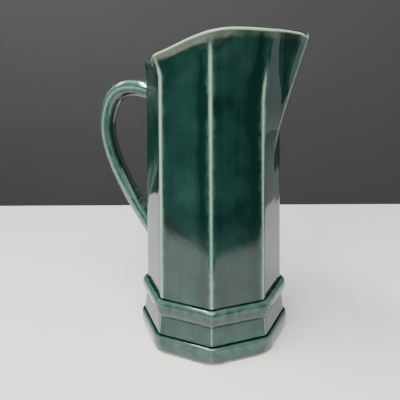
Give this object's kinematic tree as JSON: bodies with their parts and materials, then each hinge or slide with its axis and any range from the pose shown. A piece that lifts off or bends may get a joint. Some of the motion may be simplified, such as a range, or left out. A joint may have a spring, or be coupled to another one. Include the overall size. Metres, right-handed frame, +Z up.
{
  "type": "ceramic pitcher",
  "caption": "Tall octagonal glazed pitcher with a drawn pouring lip, a beaded plinth foot and an open loop handle.",
  "frame": {"origin": "on the table plane, under the middle of the object's length and width", "axes": "+Z up; +X towards the pouring lip, with the handle at -X; XZ is the plane of symmetry"},
  "size_m": [0.1633, 0.1102, 0.2306],
  "materials": {
    "green_glaze": "deep bottle-green gloss glaze that breaks to pale celadon on edges and pools near black in grooves",
    "bare_clay": "bare fired buff clay, matt"
  },
  "bodies": {
    "root": {"body": "green_glaze", "bead_band": "green_glaze", "plinth_band": "green_glaze", "foot_band": "green_glaze", "foot_ring": "bare_clay", "handle": "green_glaze", "handle_upper_joint": "green_glaze", "handle_lower_joint": "green_glaze"}
  },
  "joints": []
}
